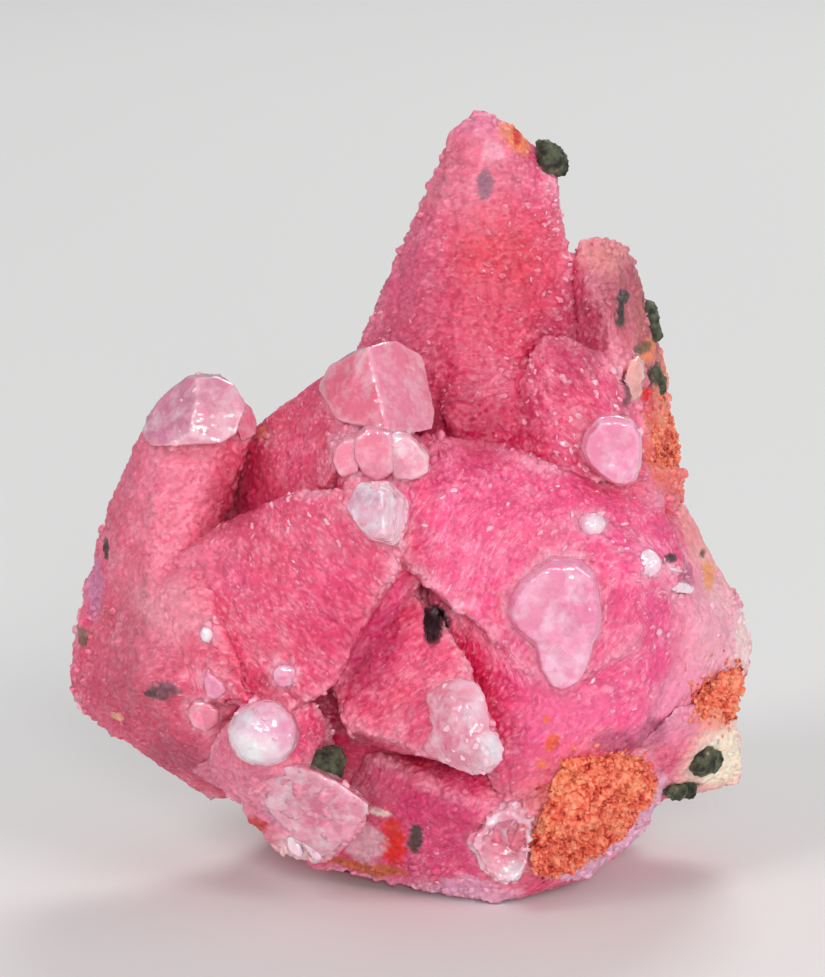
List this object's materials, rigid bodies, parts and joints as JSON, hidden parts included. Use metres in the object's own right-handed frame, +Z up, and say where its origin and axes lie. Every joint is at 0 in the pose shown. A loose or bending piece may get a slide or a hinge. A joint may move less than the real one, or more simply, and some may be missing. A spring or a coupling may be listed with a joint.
{
  "type": "mineral specimen",
  "caption": "Pink calcite cluster of pointed druse-coated crystals with clear blunt tips, green nodules and crumbly orange crusts, cut flat below so that it stands.",
  "frame": {"origin": "middle of the bounding box, at the flat base it stands on", "axes": "+Z up along the tallest crystal, -Y out of the showy side, +Y into the broken back, +X to the right of the showy side"},
  "size_m": [0.07, 0.0506, 0.0786],
  "materials": {
    "pink_calcite": "sparkling druse, slightly translucent",
    "green_mineral": "velvety, matt",
    "orange_crust": "crumbly, matt"
  },
  "bodies": {
    "root": {"calcite_cluster": "pink_calcite", "green_nodule_lower_left": "green_mineral", "green_nodule_lower_right": "green_mineral", "green_nodule_underside": "green_mineral", "green_nodule_top": "green_mineral", "green_nodule_side": "green_mineral", "green_nodule_edge": "green_mineral", "orange_crust_lower": "orange_crust", "orange_crust_flank": "orange_crust", "orange_crust_edge": "orange_crust"}
  },
  "joints": []
}
